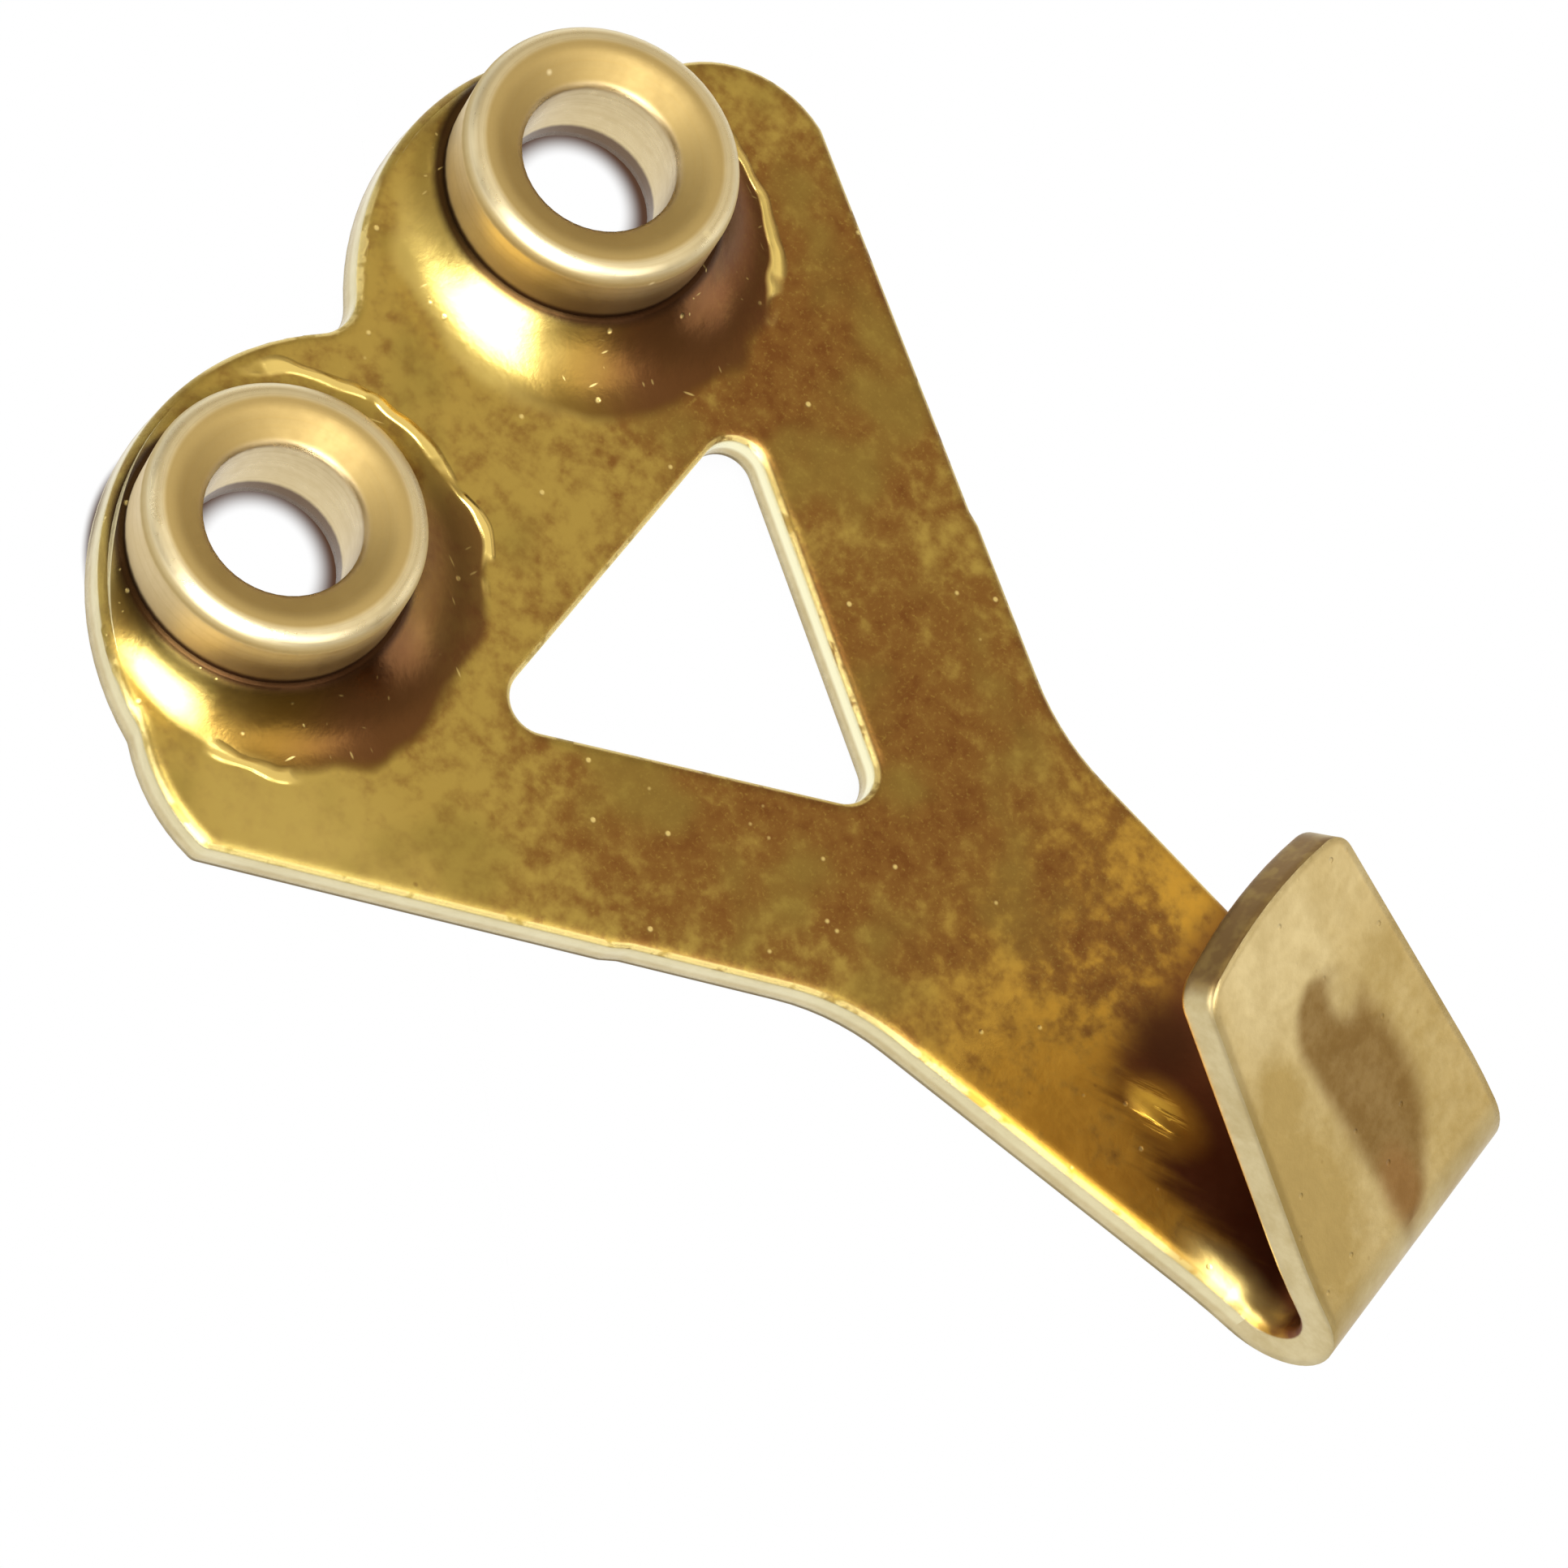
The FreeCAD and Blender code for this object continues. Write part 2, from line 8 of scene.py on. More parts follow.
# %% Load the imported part
import math

import bpy
import numpy as np
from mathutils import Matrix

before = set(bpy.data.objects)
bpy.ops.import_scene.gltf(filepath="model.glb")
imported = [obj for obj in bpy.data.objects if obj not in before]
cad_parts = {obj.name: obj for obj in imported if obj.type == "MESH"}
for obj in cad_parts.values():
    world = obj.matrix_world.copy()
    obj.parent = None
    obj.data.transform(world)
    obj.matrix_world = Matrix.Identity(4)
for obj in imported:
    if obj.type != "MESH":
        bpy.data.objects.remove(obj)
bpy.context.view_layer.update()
scene = bpy.context.scene
MM = 0.001
print("nodes:", sorted(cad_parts))

# %% [markdown]
# ## Where the camera stands
#
# The hook hangs on a wall in its own frame, with the wall on +Y. The picture was taken from in front and
# some way to the left, from a quarter of a metre, with the camera rolled so that the hook lies across the
# frame. A camera can be aimed with a constraint, but a matrix built from three axes keeps the roll exact.

# %% Camera axes
SWING = math.radians(-30.0)
RISE = math.radians(5.05)
ROLL = math.radians(-47.77)

forward = np.array([-math.sin(SWING) * math.cos(RISE), math.cos(SWING) * math.cos(RISE), -math.sin(RISE)])
level = np.array([math.cos(SWING), math.sin(SWING), 0.0])
upward = np.cross(level, forward)
right = level * math.cos(ROLL) + upward * math.sin(ROLL)
top = upward * math.cos(ROLL) - level * math.sin(ROLL)
print("the camera looks along", np.round(forward, 3))

# %% Camera
DISTANCE = 250 * MM
AIM_ON_PLATE = np.array([0.0, 0.0, -14.7]) * MM
AIM_RIGHT, AIM_UP = -0.832 * MM, -0.309 * MM
FOCAL_LENGTH, SENSOR = 221.3, 36.0
NEAREST_SEEN = 10 * MM


def pose(x_axis, y_axis, z_axis, where):
    """Matrix for an object that stands at a place with the given axes."""
    matrix = np.eye(4)
    matrix[:3] = np.column_stack([x_axis, y_axis, z_axis, where])
    return matrix.T.tolist()


lens = bpy.data.cameras.new("photo_camera")
lens.sensor_width = SENSOR
lens.lens = FOCAL_LENGTH
lens.clip_start = NEAREST_SEEN
camera = bpy.data.objects.new("photo_camera", lens)
scene.collection.objects.link(camera)
scene.camera = camera
stand = AIM_ON_PLATE - forward * DISTANCE + right * AIM_RIGHT + top * AIM_UP
camera.matrix_world = pose(right, top, -forward, stand)
print("camera at, in mm:", np.round(stand / MM, 1))

# %% [markdown]
# ## Small helpers for shader nodes
#
# A material is a graph of nodes. It could be wired by hand in the shader editor, but written down it can
# be read, changed and run again. One short function makes a node and fills its sockets, and the others
# are arithmetic on sockets, so that each finish below reads as a recipe. All of them work in the graph
# that is being built, which is always called tree.

# %% Nodes, ramps and blends


def node(kind, inputs=None, **settings):
    """Adds a node, sets its options, and fills its sockets with numbers or links from other sockets."""
    made = tree.nodes.new(kind)
    for name, value in settings.items():
        setattr(made, name, value)
    for name, value in (inputs or {}).items():
        if isinstance(value, bpy.types.NodeSocket):
            tree.links.new(value, made.inputs[name])
        else:
            made.inputs[name].default_value = value
    return made


def ramp(value, low, high, start=0.0, end=1.0):
    """Smooth step: start below low, end above high, an S-curve between."""
    inputs = {"Value": value, "From Min": low, "From Max": high, "To Min": start, "To Max": end}
    return node("ShaderNodeMapRange", inputs, interpolation_type="SMOOTHSTEP").outputs[0]


def blend(share, first, second):
    """Mix of two colours: share 0 gives the first, 1 the second."""
    inputs = {0: share, 6: first, 7: second}
    return node("ShaderNodeMix", inputs, data_type="RGBA", clamp_factor=True).outputs[2]


print("helpers: node, ramp, blend")

# %% Arithmetic on sockets


def calc(operation, *values):
    """Arithmetic on one to three sockets or numbers."""
    return node("ShaderNodeMath", dict(enumerate(values)), operation=operation).outputs[0]


def minus(first, second):
    """Difference of two values."""
    return calc("SUBTRACT", first, second)


def times(first, second):
    """Product of two values."""
    return calc("MULTIPLY", first, second)


def plus(first, *others):
    """Sum of several values."""
    for other in others:
        first = calc("ADD", first, other)
    return first


def most(first, *others):
    """Largest of several values."""
    for other in others:
        first = calc("MAXIMUM", first, other)
    return first


def length(first, second):
    """Length of the flat vector with these two parts."""
    return calc("SQRT", plus(times(first, first), times(second, second)))


def parts(vector):
    """The three parts of a vector."""
    return node("ShaderNodeSeparateXYZ", {0: vector}).outputs


print("helpers: calc, minus, times, plus, most, length, parts")

# %% [markdown]
# ## The room around the hook
#
# Polished metal has hardly any pattern of its own: mostly it shows the room. A picture of a room could be
# wrapped round the scene, but here the room is worked out from the direction in which a ray leaves, so
# that each wall is one line. White paper lies behind the hook, a dark band runs all round at table
# height, and a pale ceiling is in front. The dark band gives the edges of shiny things their dark
# outlines. Camera rays see plain white.

# %% World
PAPER = (0.95, 0.93, 0.90, 1)
LOW_WALL = (0.38, 0.35, 0.31, 1)
HORIZON = (0.13, 0.10, 0.075, 1)
RIGHT_WALL = (0.95, 0.80, 0.60, 1)
TENT = (0.42, 0.36, 0.27, 1)
OVERHEAD = (0.80, 0.70, 0.54, 1)
HIGH_WALL = (0.50, 0.43, 0.32, 1)
WHITE = (1, 1, 1, 1)

world = bpy.data.worlds.new("tent")
scene.world = world
world.use_nodes = True
tree = world.node_tree
tree.nodes.clear()
to_right, to_wall, to_top = parts(node("ShaderNodeTexCoord").outputs["Generated"])
to_front = times(to_wall, -1.0)
horizon = blend(ramp(to_right, 0.3, 0.8), HORIZON, RIGHT_WALL)
behind = blend(ramp(to_top, -0.5, 0.3), LOW_WALL, PAPER)
room = blend(ramp(to_front, -0.30, -0.05), behind, horizon)
room = blend(ramp(to_front, 0.10, 0.40), room, TENT)
room = blend(ramp(to_front, 0.50, 0.78), room, OVERHEAD)
room = blend(times(ramp(to_top, 0.35, 0.7), ramp(to_front, 0.3, 0.6)), room, HIGH_WALL)
room = blend(node("ShaderNodeLightPath").outputs["Is Camera Ray"], room, WHITE)
background = node("ShaderNodeBackground", {"Color": room})
tree.links.new(background.outputs[0], node("ShaderNodeOutputWorld").inputs[0])
print("world nodes:", len(tree.nodes))

# %% [markdown]
# ## Soft windows
#
# The white patch on each boss is a window seen in the brass. A flat lamp of the same shape gives the same
# patch, because a mirror shows a lamp's outline and not only its strength; a point lamp would leave a
# dot. The main one stands to the left of the camera, a lower one draws the fan of light in the bushings'
# mouths, and two small ones reach the folded lip and the upper edges. Each row of the table gives where a
# lamp stands as seen from the hook, how far off in metres, its height and width in metres, and its power
# in watts.

# %% Lamps
LAMPS = {
    "near_window": ((-0.52, -0.85, 0.08), 0.35, (0.20, 0.34), 1.9),
    "low_window": ((-0.20, -0.80, -0.54), 0.40, (0.17, 0.20), 0.21),
    "fold_window": ((0.56, -0.20, -0.80), 0.40, (0.16, 0.16), 0.10),
    "top_window": ((-0.19, -0.22, 0.95), 0.40, (0.04, 0.30), 0.10),
}
STRAIGHT_UP = (0, 0, 1)


def soft_lamp(name, heading, distance, size, power):
    """Rectangular lamp at a distance from the hook's middle, facing it."""
    lamp = bpy.data.lights.new(name, "AREA")
    lamp.shape = "RECTANGLE"
    lamp.size, lamp.size_y = size
    lamp.energy = power
    back = np.array(heading) / np.linalg.norm(heading)
    across = np.cross(STRAIGHT_UP, back)
    across /= np.linalg.norm(across)
    made = bpy.data.objects.new(name, lamp)
    made.matrix_world = pose(np.cross(back, across), across, back, AIM_ON_PLATE + back * distance)
    scene.collection.objects.link(made)


for name, settings in LAMPS.items():
    soft_lamp(name, *settings)
print("lamps:", sorted(LAMPS))

# %% [markdown]
# ## The white paper
#
# The hook lies on white paper, which touches the back of the plate. One square face is enough for it. It
# belongs to the stage and not to the hook.

# %% Sheet of paper
PAPER_HALF = 400 * MM
PAPER_GAP = 0.1 * MM

corners = np.array([(-1, -1), (1, -1), (1, 1), (-1, 1)]) * PAPER_HALF
points = np.column_stack([corners[:, 0], np.full(4, PAPER_GAP), corners[:, 1]])
paper_mesh = bpy.data.meshes.new("backing_paper")
paper_mesh.from_pydata(points.tolist(), [], [(0, 1, 2, 3)])
paper = bpy.data.objects.new("backing_paper", paper_mesh)
scene.collection.objects.link(paper)
print("paper:", 2 * PAPER_HALF, "m wide")

# %% [markdown]
# ## Shade on the paper
#
# A lit white sheet would come out grey in places, so the paper glows evenly instead, and ambient
# occlusion takes light away close to the metal: that is the soft shadow. Behind each boss the sheet is
# hollow, and there the paper is painted by position: white in a round patch where light would come down
# the bore, and a painted brown shadow beside it.

# %% Paper shade
NAIL_X = 7.1
PATCH_SHIFT, PATCH_Z, PATCH_RADIUS, PATCH_SOFT = 0.63, -0.25, 1.75, 0.35
HOLLOW_RADIUS, HOLLOW_SOFT = 4.2, 0.3
SHADE_REACH = 5 * MM
NEAR_SHARE, WIDE_SHARE = 0.93, 0.07
DUSK = (0.10, 0.05, 0.03, 1)


def new_material(name):
    """Material with an empty graph and its output node."""
    material = bpy.data.materials.new(name)
    material.use_nodes = True
    material.node_tree.nodes.clear()
    return material, material.node_tree, material.node_tree.nodes.new("ShaderNodeOutputMaterial")


def in_mm():
    """Object position in millimetres."""
    where = node("ShaderNodeTexCoord").outputs["Object"]
    return node("ShaderNodeVectorMath", {0: where, 3: 1 / MM}, operation="SCALE").outputs[0]


paper_white, tree, output = new_material("backing_white")
open_share = node("ShaderNodeAmbientOcclusion", {"Distance": SHADE_REACH}, samples=8).outputs["AO"]
near_shade = times(ramp(open_share, 0.02, 0.12), NEAR_SHARE)
wide_shade = times(ramp(open_share, 0.10, 0.45), WIDE_SHARE)
px, _, pz = parts(in_mm())
from_nail = minus(px, times(calc("SIGN", px), NAIL_X))
from_patch = length(minus(from_nail, PATCH_SHIFT), minus(pz, PATCH_Z))
in_hollow = ramp(length(from_nail, pz), HOLLOW_RADIUS, HOLLOW_RADIUS - HOLLOW_SOFT)
# painted shadow on the paper round the lit patch under each bore
dusk_share = times(ramp(from_patch, PATCH_RADIUS - PATCH_SOFT, PATCH_RADIUS + PATCH_SOFT), in_hollow)
paper_tone = blend(dusk_share, WHITE, DUSK)
strength = most(plus(near_shade, wide_shade), in_hollow)
glow = node("ShaderNodeEmission", {"Color": paper_tone, "Strength": strength})
print("light falls on the paper", PATCH_RADIUS, "mm round each bore")

# %% [markdown]
# ## Who sees the paper
#
# Only the camera and reflections see the glow, so that the paper throws no light of its own. From behind
# the paper is clear, because the back of the hook is looked at too, and it is clear to a ray that starts
# on the plate's back, where it would show nothing but shade.

# %% Paper finish
TOUCHING = 0.25 * MM

rays = node("ShaderNodeLightPath").outputs
from_behind = node("ShaderNodeNewGeometry").outputs["Backfacing"]
seen = times(most(rays["Is Camera Ray"], rays["Is Glossy Ray"]), minus(1.0, from_behind))
seen = times(seen, calc("GREATER_THAN", rays["Ray Length"], TOUCHING))
clear = node("ShaderNodeBsdfTransparent")
surface = node("ShaderNodeMixShader", {0: seen, 1: clear.outputs[0], 2: glow.outputs[0]})
tree.links.new(surface.outputs[0], output.inputs[0])
paper_mesh.materials.append(paper_white)
print("paper finish:", len(tree.nodes), "nodes")

# %% [markdown]
# ## Oxide, which both brasses share
#
# Handled brass is never one colour: oxide clouds it in soft patches, and the rolls and cutters leave a
# fine grain. A photograph of old brass would show seams, so layers of noise make it up. The effect is a
# node group with inputs of its own, so that sheet and turned brass use one recipe with different values.

# %% Oxide clouds
POINT, NUMBER = "NodeSocketVector", "NodeSocketFloat"
MOTTLES_PER_MM, GRAINS_PER_MM = 1.7, 9.0
FINE_SHARE, BROAD_SHARE = 0.35, 0.65


def new_group(name, inputs, outputs):
    """Empty shader group with named sockets; returns its graph, its input sockets and its output node."""
    group = bpy.data.node_groups.new(name, "ShaderNodeTree")
    for label, kind in inputs.items():
        group.interface.new_socket(label, in_out="INPUT", socket_type=kind)
    for label in outputs:
        group.interface.new_socket(label, in_out="OUTPUT", socket_type=NUMBER)
    return group, group.nodes.new("NodeGroupInput").outputs, group.nodes.new("NodeGroupOutput")


def noise(where, scale, detail=2.0, rough=0.5, warp=0.0):
    """Soft cloud noise around 0.5; scale is in clouds per millimetre."""
    inputs = {"Vector": where, "Scale": scale, "Detail": detail, "Roughness": rough, "Distortion": warp}
    return node("ShaderNodeTexNoise", inputs).outputs[0]


CLOUD_INPUTS = {"Place": POINT, "Patch": NUMBER}
tree, given, result = new_group("oxide_clouds", CLOUD_INPUTS, ("Cloud", "Mottle", "Grain"))
patches_per_mm = calc("DIVIDE", 1.0, given["Patch"])
broad = noise(given["Place"], patches_per_mm, 5.0, 0.62, 0.4)
fine = noise(given["Place"], times(patches_per_mm, 5.0), 4.0, 0.6)
cloud = plus(times(fine, FINE_SHARE), times(broad, BROAD_SHARE))
tree.links.new(ramp(cloud, 0.30, 0.70), result.inputs["Cloud"])
tree.links.new(noise(given["Place"], MOTTLES_PER_MM, 2.5, 0.55), result.inputs["Mottle"])
tree.links.new(noise(given["Place"], GRAINS_PER_MM, 3.0, 0.6), result.inputs["Grain"])
oxide_clouds = tree
print("group:", oxide_clouds.name)

# %% [markdown]
# ## Pits and scratches
#
# Small pits and hair-thin scratches cut through to bright metal. They could be dotted over the mesh one
# by one, but cell noise scatters them anywhere: a pit is a small dot at the middle of a few of the cells,
# and a scratch is the same dot with space stretched along one direction, laid at three slants so that the
# marks cross.

# %% Bright pits
DOT_EDGE, DOT_CORE = 0.16, 0.06


def cell_dots(where, scale, edge, core, channel, share):
    """Dots in the middle of a share of the cells; the cell's own colour says which ones."""
    cells = node("ShaderNodeTexVoronoi", {"Vector": where, "Scale": scale}).outputs
    draw = node("ShaderNodeSeparateColor", {0: cells["Color"]}).outputs[channel]
    return times(ramp(cells["Distance"], edge, core), calc("LESS_THAN", draw, share))


PIT_INPUTS = {"Place": POINT, "Spacing": NUMBER, "Share": NUMBER}
tree, given, result = new_group("bright_pits", PIT_INPUTS, ("Pit",))
cells_per_mm = calc("DIVIDE", 1.0, given["Spacing"])
dots = cell_dots(given["Place"], cells_per_mm, DOT_EDGE, DOT_CORE, 0, given["Share"])
tree.links.new(dots, result.inputs["Pit"])
bright_pits = tree
print("group:", bright_pits.name)

# %% Hair scratches
SLANTS = (0.5, -0.35, 1.25)
HAIR_CELLS = (5.0, 5.0, 0.55)
HAIR_EDGE, HAIR_CORE = 0.2, 0.08


def stretch(where, factors, turn=(0.0, 0.0, 0.0)):
    """Position turned and then scaled along each axis."""
    turned = node("ShaderNodeMapping", {"Vector": where, "Rotation": turn}).outputs[0]
    return node("ShaderNodeVectorMath", {0: turned, 1: factors}, operation="MULTIPLY").outputs[0]


tree, given, result = new_group("hair_scratches", {"Place": POINT, "Share": NUMBER}, ("Scratch",))
lines = []
for slant in SLANTS:
    laid = stretch(given["Place"], HAIR_CELLS, (0.0, slant, 0.0))
    lines.append(cell_dots(laid, 1.0, HAIR_EDGE, HAIR_CORE, 1, given["Share"]))
tree.links.new(most(*lines), result.inputs["Scratch"])
hair_scratches = tree
print("group:", hair_scratches.name)

# %% [markdown]
# ## Where on the sheet a point lies
#
# The plate is one sheet, bent once, so a point is described the way the presser would: on the flat, on
# the fold or on the lip, and on the front, the back or the cut edge. Unwrapping the mesh would give flat
# coordinates too, but turning space about the fold's axis gives the lip its own two, along and out, with
# no seams. Distances are in millimetres.

# %% Sheet coordinates
FOLD_Y, FOLD_Z = -2.1, -32.2
LIP_TURN = math.radians(36.0)
LIP_SIN, LIP_COS = math.sin(LIP_TURN), math.cos(LIP_TURN)

plate_brass, tree, output = new_material("sheet_brass")
place_mm = in_mm()
px, py, pz = parts(place_mm)
_, ny, nz = parts(node("ShaderNodeNewGeometry").outputs["Normal"])
fy, fz = minus(py, FOLD_Y), minus(pz, FOLD_Z)
lip_along = plus(times(fy, -LIP_SIN), times(fz, LIP_COS))
lip_out = plus(times(fy, -LIP_COS), times(fz, -LIP_SIN))
on_lip = times(calc("GREATER_THAN", lip_out, 0.5), calc("GREATER_THAN", lip_along, 0.0))
on_fold = times(calc("LESS_THAN", fz, 0.0), minus(1.0, on_lip))
on_flat = minus(minus(1.0, on_lip), on_fold)
lip_side = plus(times(ny, -LIP_COS), times(nz, -LIP_SIN))
fold_side = calc("DIVIDE", plus(times(fy, ny), times(fz, nz)), length(fy, fz))
side = plus(times(on_flat, ny), times(on_lip, lip_side), times(on_fold, fold_side))
front = ramp(side, -0.2, -0.5)
back = ramp(side, 0.25, 0.6)
print("sheet coordinates use", len(tree.nodes), "nodes")

# %% [markdown]
# ## Marks on the sheet
#
# The shared effects are now placed on the sheet, each with its own spacing. Two helpers follow that every
# tone needs: an oval mask with a soft edge, and a painter that lays one tone over another in the order
# given, which is how stains and wear build up on the real hook.

# %% Marks on the sheet
CLOUD_PATCH = 1.6
PIT_SPACING, PIT_SHARE = 0.62, 0.16
SPECK_SPACING, SPECK_SHARE, SPECK_CELLS = 0.5, 0.16, (1.0, 1.0, 0.8)
SCRATCH_SHARE = 0.1


def placed(group, **inputs):
    """Puts a shader group into a material and fills its inputs; returns its outputs."""
    named = {label.capitalize(): value for label, value in inputs.items()}
    return node("ShaderNodeGroup", named, node_tree=group).outputs


clouds = placed(oxide_clouds, place=place_mm, patch=CLOUD_PATCH)
pits = placed(bright_pits, place=place_mm, spacing=PIT_SPACING, share=PIT_SHARE)["Pit"]
speck_place = stretch(place_mm, SPECK_CELLS)
specks = placed(bright_pits, place=speck_place, spacing=SPECK_SPACING, share=SPECK_SHARE)["Pit"]
scratch = placed(hair_scratches, place=place_mm, share=SCRATCH_SHARE)["Scratch"]
marks = most(pits, times(scratch, 0.75))
print("pits every", PIT_SPACING, "mm or so")

# %% Spots and layers


def soft_spot(centre_x, centre_z, radius_x, radius_z, edge, along=None):
    """Soft oval mask: 1 inside, fading to 0 round the given radii; along the plate, or along the lip."""
    dx = times(minus(px, centre_x), 1 / radius_x)
    dz = times(minus(pz if along is None else along, centre_z), 1 / radius_z)
    return ramp(length(dx, dz), 1.0 + edge, 1.0 - edge)


def paint(tone, *layers):
    """Lays tones over a first one in order; each layer is a mask, its strength and its tone."""
    for mask, strength, layer_tone in layers:
        tone = blend(times(mask, strength), tone, layer_tone)
    return tone


print("helpers: soft_spot, paint")

# %% [markdown]
# ## Old brass on the front
#
# Lacquered brass keeps its gold where fingers rub it and goes brown, then reddish, where it is left
# alone. Soft ovals say where the sheet has gone dull, and the shared clouds break their outlines. The
# strip below the waist is more amber, and the left corner of the head is paler.

# %% Front tone
GOLD = (0.52, 0.38, 0.095, 1)
AMBER = (0.74, 0.41, 0.053, 1)
PALE_GOLD = (0.66, 0.52, 0.16, 1)
OLIVE_GOLD = (0.36, 0.275, 0.065, 1)
BROWN = (0.275, 0.135, 0.036, 1)
RED_BROWN = (0.22, 0.092, 0.026, 1)
DULL_SPOTS = (
    (1.0, (0.8, -15.5, 6.0, 6.5, 0.7)),
    (1.0, (8.5, -6.5, 5.0, 6.0, 0.7)),
    (0.8, (-5.0, -13.0, 3.0, 4.0, 0.8)),
    (0.9, (1.4, -22.0, 2.6, 3.5, 0.7)),
)
PALE_CORNER = (-12.8, -6.0, 2.6, 4.0, 0.7)
AMBER_FROM, AMBER_FULL = -18.0, -25.0
OLIVE_LOW, OLIVE_HIGH, OLIVES_PER_MM = -24.0, -19.0, 0.33

tarnish = most(*[times(soft_spot(*spot), share) for share, spot in DULL_SPOTS])
mottle = times(minus(clouds["Mottle"], 0.48), 1.35)
dull = plus(times(tarnish, 0.7), times(clouds["Cloud"], 0.5), mottle)
amber = times(ramp(pz, AMBER_FROM, AMBER_FULL), ramp(dull, 1.0, 0.2))
olive = times(ramp(noise(place_mm, OLIVES_PER_MM), 0.48, 0.7), ramp(pz, OLIVE_LOW, OLIVE_HIGH))
front_tone = paint(
    GOLD,
    (ramp(dull, 0.05, 0.9), 1.0, BROWN),
    (ramp(dull, 0.85, 1.25), 1.0, RED_BROWN),
    (ramp(clouds["Grain"], 0.52, 0.75), 0.4, GOLD),
    (amber, 0.85, AMBER),
    (soft_spot(*PALE_CORNER), 0.7, PALE_GOLD),
    (specks, 0.45, RED_BROWN),
    (olive, 0.55, OLIVE_GOLD),
)
print("dull spots:", len(DULL_SPOTS))

# %% [markdown]
# ## Round the bosses
#
# The flanks are painted by angle. The side that faces the main lamp is painted paler, so that its
# highlight comes out white, and round that highlight and further down the flank it is painted darker, as
# shade. On the side that faces down the flank is painted nearly black-brown, as shade, and a thin ring of
# painted contact shadow lies in the joint. The bosses are alike, so space is folded at the middle and
# both are painted at once.

# %% Boss flanks
BOSS_X, BOSS_Z, FOOT_RADIUS = 6.65, -0.9, 5.45
SEAT_Z, JOINT_RADIUS = -0.1, 3.95
LAMP_SIDE_AT, GLINT_AT, LOW_AT, SHADED_AT = 175.0, 200.0, 240.0, 285.0
GLINT = (-11.6, -0.3, 1.0, 1.1, 0.6)
SHADE_BROWN = (0.15, 0.063, 0.027, 1)
SHADED_GOLD = (0.17, 0.09, 0.015, 1)
CONTACT_SHADE = (0.05, 0.022, 0.01, 1)


def facing(across, along, degrees, low, high):
    """Mask by direction, from the cosine between a flat vector and an angle."""
    angle = math.radians(degrees)
    part = plus(times(across, math.cos(angle)), times(along, math.sin(angle)))
    return ramp(calc("DIVIDE", part, most(length(across, along), 0.01)), low, high)


hand = calc("SIGN", px)
boss = minus(px, times(hand, BOSS_X)), minus(pz, BOSS_Z)
waver = times(minus(noise(place_mm, 0.55, 1.0), 0.5), 1.2)
foot = plus(minus(length(*boss), FOOT_RADIUS), waver)
from_nail = length(minus(px, times(hand, NAIL_X)), minus(pz, SEAT_Z))
flank = times(ramp(foot, 0.1, -0.35), front)
shaded = times(flank, facing(*boss, SHADED_AT, 0.25, 0.75))
left_flank = times(flank, ramp(px, 0.5, -0.5))
shade_round_glint = times(left_flank, minus(1.0, soft_spot(*GLINT)))
# painted: a paler lamp-facing flank for a white highlight, painted shade round it, lower down and facing
# down, and painted contact shade in the joint
front_tone = paint(
    front_tone,
    (times(flank, facing(*boss, LAMP_SIDE_AT, 0.45, 0.85)), 0.8, PALE_GOLD),
    (times(shade_round_glint, facing(*boss, GLINT_AT, 0.1, 0.6)), 0.75, SHADED_GOLD),
    (times(flank, facing(*boss, LOW_AT, 0.6, 0.9)), 0.85, SHADED_GOLD),
    (shaded, 0.8, SHADE_BROWN),
    (ramp(from_nail, JOINT_RADIUS + 0.12, JOINT_RADIUS - 0.1), 0.95, CONTACT_SHADE),
)
print("flanks end", FOOT_RADIUS, "mm from each boss's middle")

# %% [markdown]
# ## Creases and bright marks
#
# Along part of each boss's foot the sheet has puckered into a fine crease, raised a little, and its line
# of light is painted on as a bright gold highlight. It is a wavy circle of changing width, kept to one
# side, and broken by noise. A painted highlight runs along the rolled front edge of the sheet as well. The
# pits and scratches are bright metal and come last, because they cut through everything.

# %% Creases
CREASE_LEFT, CREASE_LOW, CREASE_RIGHT = 0.0, 208.0, -38.0
CREASE_NARROW, CREASE_WIDE = 0.18, 0.3
HIGHLIGHT_GOLD = (1.0, 0.80, 0.28, 1)
BRIGHT = (0.95, 0.78, 0.32, 1)

low_crease = times(facing(*boss, CREASE_LOW, 0.965, 0.99), 0.8)
left_crease = most(facing(*boss, CREASE_LEFT, 0.58, 0.76), low_crease)
right_crease = facing(*boss, CREASE_RIGHT, 0.82, 0.92)
on_right = ramp(px, -0.5, 0.5)
crease_side = plus(times(minus(right_crease, left_crease), on_right), left_crease)
crease_width = ramp(noise(place_mm, 0.8, 0.5), 0.3, 0.7, CREASE_NARROW, CREASE_WIDE)
crease = ramp(calc("DIVIDE", calc("ABSOLUTE", foot), crease_width), 1.0, 0.3)
crease = times(times(crease, crease_side), ramp(noise(place_mm, 0.9, 1.0), 0.30, 0.45))
rolled = times(ramp(side, -0.98, -0.86), times(on_flat, ramp(foot, 0.0, 0.4)))
rolled = times(rolled, ramp(clouds["Mottle"], 0.34, 0.48))
# painted highlights on the rolled front edge and on the crease
front_tone = paint(
    front_tone,
    (rolled, 0.75, BRIGHT),
    (crease, 1.0, HIGHLIGHT_GOLD),
    (marks, minus(0.9, times(shaded, 0.5)), BRIGHT),
)
print("creases are", CREASE_NARROW, "to", CREASE_WIDE, "mm to a side")
